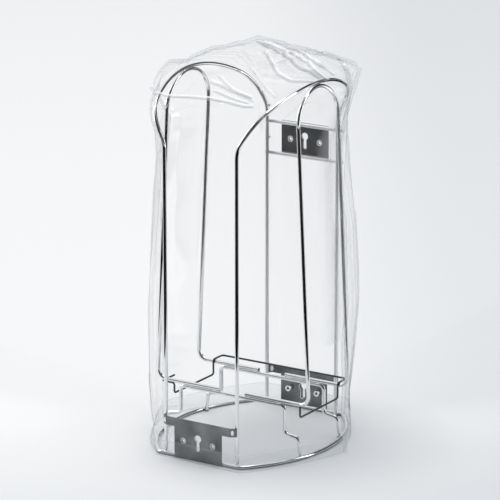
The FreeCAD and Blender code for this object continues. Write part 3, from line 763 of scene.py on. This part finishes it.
def sheetFolds(side, grid):
    # height of the folds in metres over the smooth sheet, from the fans, single lines, waves, crumpling and
    # sharp creases, how white the film is there, partly a painted highlight, and the painted shade beside a
    # crease
    rows, columns = grid.shape[:2]
    half = folds["halfWidth"]
    across = np.linspace(-half, half, columns)[None, :] * np.ones((rows, 1))
    step = np.linalg.norm(np.diff(grid[:, columns // 2], axis=0), axis=-1) / mm
    up = np.concatenate([[0], np.cumsum(step)])[:, None] * np.ones((1, columns))
    top = up[-1, 0]
    seed = folds["seed"][side]
    height = np.zeros((rows, columns))
    amount, pace = folds["wander"]
    for focus, first, last, count, width, rise in folds[side]["fans"]:
        for share in np.linspace(0, 1, count):
            wander = 1 + amount * np.sin(pace * share + focus[0])
            endX = first[0] + (last[0] - first[0]) * share
            endY = top + first[1] + (last[1] - first[1]) * share
            fold = tentFold(across, up, (focus[0], top + focus[1]), (endX, endY), width)
            height = np.maximum(height, rise * wander * fold)
    for start, end, width, rise in folds[side]["lines"]:
        height = np.maximum(height, rise * tentFold(across, up, start, end, width))
    cap = np.clip((up - folds["cap"][0]) / folds["cap"][1], 0, 1)
    slant = np.clip((np.abs(across) - folds["slant"][0]) / folds["slant"][1], 0, 1)
    amount, patchX, patchY = folds["warp"]
    warp = amount * softNoise(across / patchX, up / patchY, seed + 3)
    bend, length = folds["waveBend"]
    wave = 0.5 + 0.5 * np.sin((across + warp) / folds["waveLength"] + bend * np.sin(up / length))
    least = folds["waveFlat"]
    height += folds["waves"] * wave * (least + (1 - least) * slant) * (1 - cap)
    level = folds["wallShare"] + (1 - folds["wallShare"]) * cap
    for number, (size, rise) in enumerate(folds["crumple"]):    # longer up and down on the walls
        place = (across + warp) / size + 9 * number, up * level / size + 5 * number
        height += rise * level * creaseNoise(*place, seed + number)
    white = np.clip(height - folds["whiteFrom"], 0, folds["whiteSpan"]) / folds["whiteFull"]
    shade = np.zeros_like(height)
    amount, place, width = folds["tight"]
    height *= 1 - amount * np.exp(-((np.abs(across) - place) / width) ** 2) * cap
    if side == "front":
        for width, rise, bright, points in creases:
            fold, grey = polylineFold(across, up, points, width)
            height += rise * fold
            white = np.maximum(white, folds["whiteGain"] * bright * fold ** folds["whitePower"])
            # painted shade: grey beside each crease, or a grey band where its whiteness is below zero
            shade = np.maximum(shade, bright * grey if bright > 0 else -bright * fold)
    nearSide, nearTop = folds["rim"]
    rim = np.clip((half - np.abs(across)) / nearSide, 0, 1) * np.clip((top - up) / nearTop, 0, 1)
    return (folds["lift"] + height) * rim * mm, white, shade


def smoothGrid(grid, passes):
    # each inner point moves to the 1-2-1 average of its row and its column; the rim stays
    grid = grid.copy()
    for _ in range(passes):
        middle = grid[1:-1, 1:-1]
        rows = (grid[:-2, 1:-1] + grid[2:, 1:-1] + 2 * middle) / 4
        grid[1:-1, 1:-1] = (rows + (grid[1:-1, :-2] + grid[1:-1, 2:] + 2 * middle) / 4) / 2
    return grid


def gridNormals(grid):
    # cross product of the differences along the two directions of the grid
    alongRow = np.gradient(grid, axis=1)
    alongColumn = np.gradient(grid, axis=0)
    normal = np.cross(alongRow, alongColumn)
    return normal / np.maximum(1e-12, np.linalg.norm(normal, axis=-1, keepdims=True))


sway = {
    "side": [(1.6, 43, 1), (1.1, 19, 2)],      # height and length of the sways in mm, and their shift across
    "sideFrom": 0.80, "foot": 60,              # share of the half width where it starts, mm it grows over
    "top": [(1.3, 17), (0.8, 6.3)], "topPower": 14,
}


def seamWander(grid):
    # the side seams and the top seam sway in their own plane by sums of sines, the same on both sheets
    rows, columns = grid.shape[:2]
    s = np.linspace(-1, 1, columns)[None, :]
    z = grid[..., 2] / mm
    side = sum(rise * np.sin(z / length + shift * s) for rise, length, shift in sway["side"])
    rim = np.clip((np.abs(s) - sway["sideFrom"]) / (1 - sway["sideFrom"]), 0, 1)
    grid[..., 0] += np.sign(s) * side * rim * np.clip(z / sway["foot"], 0, 1) * mm
    topRow = np.linspace(0, 1, rows)[:, None] ** sway["topPower"]
    x = grid[..., 0] / mm
    grid[..., 2] += topRow * sum(rise * np.sin(x / length) for rise, length in sway["top"]) * mm
    return grid


filmFinish = {
    "crinkle": 28 * mm, "crinkleBump": 0.08, "crinkleDepth": 1.0 * mm,
    "mirrorFull": 0.5, "sheen": 0.08,              # Fresnel share where the sheen is full, its share there
    "gloss": 0.10, "rough": 0.35,                  # roughness of the sheen and of the milky film
    "cloud": 60 * mm, "cloudSpan": (0.35, 0.75), "cloudGain": (0.5, 1.6),  # where the haze is thin and thick
    "edgePower": 6.5, "edge": 0.6, "crease": 0.9, "paintedShadeShare": 0.7,           # shares that hide what is behind
    # the film's own colour; the grey of its edges and of the painted shade; strength of the painted glow
    "white": "#f7f8fa", "grey": "#666b70", "glow": 0.22,
    "sheet": (0.010, "#fefefe"), "weld": (0.10, "#f0f2f4"), "hem": (0.035, "#f6f8f9"),   # haze and tint
}


def filmMaterial(name, haze, tint):
    # clear blown polyethylene film: see-through, glossy, faintly milky, whitened along creases partly by
    # painted highlight and glow, with painted shade, and greyer where the eye looks along it, because more
    # film lies in the way
    finish = filmFinish
    material, tree = newMaterial(name)
    coords = addNode(tree, "ShaderNodeTexCoord")
    crinkle = addNode(tree, "ShaderNodeTexNoise", {"noise_type": "RIDGED_MULTIFRACTAL"},
                      {"Vector": coords.outputs["Object"], "Scale": 1 / finish["crinkle"], "Detail": 3.0,
                       "Roughness": 0.5})
    bump = addNode(tree, "ShaderNodeBump", None, {"Height": crinkle.outputs["Fac"],
                                                  "Strength": finish["crinkleBump"],
                                                  "Distance": finish["crinkleDepth"]})
    mirror = addNode(tree, "ShaderNodeFresnel", None, {"IOR": 1.5, "Normal": bump.outputs["Normal"]})
    sheen = addNode(tree, "ShaderNodeMapRange", None,
                    {"Value": mirror.outputs[0], "From Max": finish["mirrorFull"], "To Max": finish["sheen"]})
    clear = addNode(tree, "ShaderNodeBsdfTransparent", None, {"Color": toLinear(tint)})
    gloss = addNode(tree, "ShaderNodeBsdfGlossy", None,
                    {"Color": toLinear("#ffffff"), "Roughness": finish["gloss"],
                     "Normal": bump.outputs["Normal"]})
    glass = addNode(tree, "ShaderNodeMixShader", None,
                    {0: sheen.outputs["Result"], 1: clear.outputs[0], 2: gloss.outputs[0]})
    weight = addNode(tree, "ShaderNodeLayerWeight", None, {"Blend": 0.5})
    edge = addNode(tree, "ShaderNodeMath", {"operation": "POWER"},
                   {0: weight.outputs["Facing"], 1: finish["edgePower"]})
    cloud = addNode(tree, "ShaderNodeTexNoise", None,
                    {"Vector": coords.outputs["Object"], "Scale": 1 / finish["cloud"], "Detail": 4.0})
    thin, thick = finish["cloudSpan"]
    least, most = finish["cloudGain"]
    milk = addNode(tree, "ShaderNodeMapRange", None,
                   {"Value": cloud.outputs["Fac"], "From Min": thin, "From Max": thick,
                    "To Min": haze * least, "To Max": haze * most})
    crease = addNode(tree, "ShaderNodeAttribute", {"attribute_name": "crease"})
    shade = addNode(tree, "ShaderNodeAttribute", {"attribute_name": "shade"})
    share = milk.outputs["Result"]                  # haze, crease whitening with its painted highlight, edges and painted shade add up
    for value, key, clamp in ((crease.outputs["Fac"], "crease", False), (edge.outputs[0], "edge", True),
                              (shade.outputs["Fac"], "paintedShadeShare", True)):
        added = addNode(tree, "ShaderNodeMath", {"operation": "MULTIPLY_ADD", "use_clamp": clamp},
                        {0: value, 1: finish[key], 2: share})
        share = added.outputs[0]
    dark = addNode(tree, "ShaderNodeMath", {"operation": "MAXIMUM"},
                   {0: shade.outputs["Fac"], 1: edge.outputs[0]})
    tone = addNode(tree, "ShaderNodeMix", {"data_type": "RGBA"},
                   {0: dark.outputs[0], 6: toLinear(finish["white"]), 7: toLinear(finish["grey"])})
    paintedGlow = addNode(tree, "ShaderNodeMath", {"operation": "MULTIPLY"},       # painted glow along a crease, for light through it
                      {0: crease.outputs["Fac"], 1: finish["glow"]})
    body = addNode(tree, "ShaderNodeBsdfPrincipled", None,
                   {"Base Color": tone.outputs[2], "Roughness": finish["rough"],
                    "Normal": bump.outputs["Normal"], "Emission Color": toLinear("#ffffff"),
                    "Emission Strength": paintedGlow.outputs[0]})
    film = addNode(tree, "ShaderNodeMixShader", None, {0: share, 1: glass.outputs[0], 2: body.outputs[0]})
    path = addNode(tree, "ShaderNodeLightPath")     # what metal mirrors, it mirrors through the film
    seen = addNode(tree, "ShaderNodeMixShader", None,
                   {0: path.outputs["Is Glossy Ray"], 1: film.outputs[0], 2: clear.outputs[0]})
    finishMaterial(tree, seen.outputs[0])
    return material


def paintPoints(piece, name, amount):
    # one value a point, from 0 to 1, kept as an attribute that the film's material reads
    layer = piece.data.attributes.new(name, "FLOAT", "POINT")
    layer.data.foreach_set("value", amount.astype(np.float32).ravel())


def edgeFin(name, line, outward, width, material):
    # welded edge: a narrow band along a seam, standing out by its width, with a slight ripple across, and
    # painted shade along its rows
    steps = np.linspace(0, 1, len(bag["sealShade"]))[:, None, None]
    band = line[None] + outward[None] * width * steps
    run = np.concatenate([[0], np.cumsum(np.linalg.norm(np.diff(line, axis=0), axis=-1))]) / mm
    ripple = sum(rise * np.sin(run / length) for rise, length in bag["sealRipple"]) * mm
    band[..., 1] += steps[..., 0] * ripple[None]
    piece = gridMesh(name, band, material)
    paintPoints(piece, "shade", np.array(bag["sealShade"])[:, None] * np.ones(len(line)))
    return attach(piece, "dust_bag")


def makeBag():
    film = filmMaterial("clearPolyethyleneFilm", *filmFinish["sheet"])
    weld = filmMaterial("heatSealedFilmEdge", *filmFinish["weld"])
    hemFilm = filmMaterial("doubledHemFilm", *filmFinish["hem"])
    grids, whites, shades = [], [], []
    for side in ("front", "rear"):
        base = seamWander(smoothGrid(baseSheet(side), bag["smooth"]))
        height, white, shade = sheetFolds(side, base)
        grid = base + gridNormals(base) * height[..., None]
        grid[..., 2] = np.maximum(grid[..., 2], 0)
        grid[0, :, 2] = grid[:, 0, 1] = grid[:, -1, 1] = grid[-1, :, 1] = 0
        grids.append(grid)
        whites.append(white)
        shades.append(shade)
    front, rear = grids
    rear[-1], rear[:, 0], rear[:, -1] = front[-1], front[:, 0], front[:, -1]      # the seams are shared
    rear[..., 1] *= -1
    rear = rear[:, ::-1]
    hemRows = int(np.argmax(front[:, 0, 2] > bag["hem"])) + 1
    pieces = {}
    for name, grid, white, shade, node, hemNode in (
            ("film_front", front, whites[0], shades[0], "bag_front_sheet", "bag_front_hem"),
            ("film_rear", rear, whites[1][:, ::-1], shades[1][:, ::-1], "bag_rear_sheet", "bag_rear_hem")):
        sheet = gridMesh(name, grid, film)
        paintPoints(sheet, "crease", white)
        paintPoints(sheet, "shade", shade)
        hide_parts(node)
        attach(sheet, "dust_bag")
        hemGrid = (grid + gridNormals(grid) * bag["hemGap"])[:hemRows]
        hemGrid[..., 2] = np.maximum(hemGrid[..., 2], 0)
        hem = gridMesh(name + "_hem", hemGrid, hemFilm)
        rim = np.zeros(hemGrid.shape[:2])
        rim[0], rim[-1] = bag["hemShade"], bag["hemWeldShade"]         # painted shade along the mouth and the weld of the hem
        paintPoints(hem, "shade", rim)
        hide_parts(hemNode)
        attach(hem, "dust_bag")
        pieces[name] = (sheet, hem)
    seals = []
    for hand, node, column in ((-1, "bag_side_seal_left", 0), (1, "bag_side_seal_right", -1)):
        line = front[:, column]
        outward = np.zeros_like(line)
        outward[:, 0] = hand
        seal = edgeFin("seal_left" if hand < 0 else "seal_right", line, outward, bag["seal"], weld)
        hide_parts(node)
        seals.append(seal)
    line = front[-1]
    outward = np.zeros_like(line)
    outward[:, 2] = 1
    seal = edgeFin("seal_top", line, outward, bag["seal"], weld)
    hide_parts("bag_top_seal")
    seals.append(seal)
    for name, others in (("film_front", seals), ("film_rear", [])):
        sheet, hem = pieces[name]
    print("bag made")


makeCamera()
makeWorld()
makeFloor()
makeFlags()
makeCards()
makeLamps()
paintRack()
bareSteelAndHighlight = bareSteelAndHighlightMaterial()
makePlateRims(bareSteelAndHighlight)
makeWeldBeads(bareSteelAndHighlight)
makeBag()
